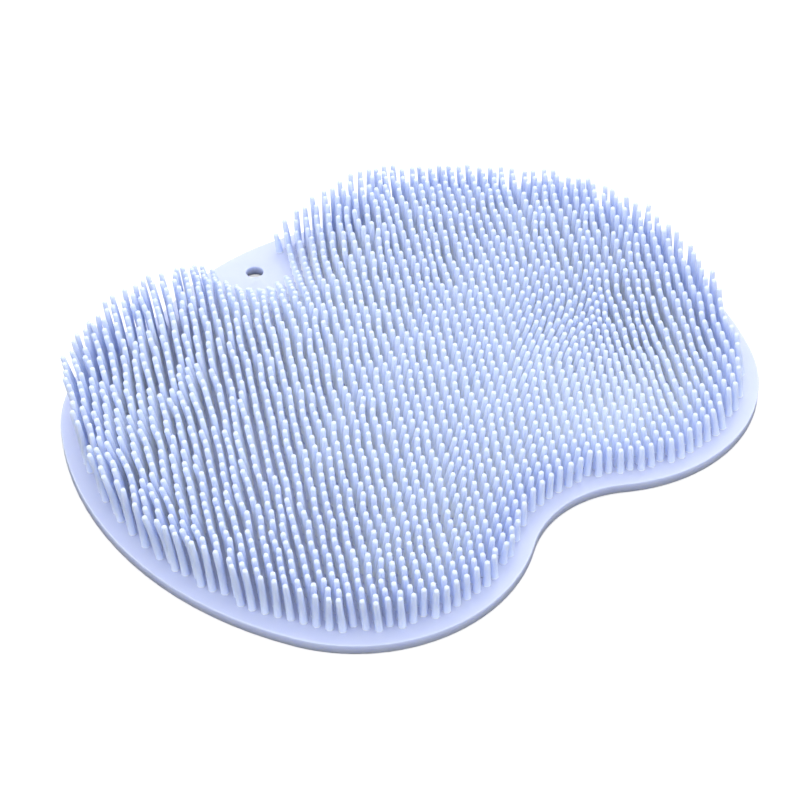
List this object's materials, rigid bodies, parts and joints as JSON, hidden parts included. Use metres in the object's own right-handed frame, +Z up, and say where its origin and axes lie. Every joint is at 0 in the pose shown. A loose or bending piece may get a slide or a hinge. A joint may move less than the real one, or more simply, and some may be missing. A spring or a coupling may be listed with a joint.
{
  "type": "shower foot scrubber",
  "caption": "Soft two-lobed foot scrubbing mat moulded in one piece, with a field of tapered bristles on top, suction cups underneath and a bare rear tab with a hanging hole.",
  "frame": {"origin": "middle of the footprint's box, on the floor that the rim and the suction cups rest on", "axes": "+X along the two lobes, +Y towards the tab with the hanging hole, +Z up out of the floor, along the bristles"},
  "size_m": [0.285, 0.226, 0.0328],
  "materials": {
    "silicone": "soft satin silicone rubber, pale lavender blue, slightly translucent"
  },
  "bodies": {
    "root": {"scrubber_mat": "silicone"}
  },
  "joints": []
}
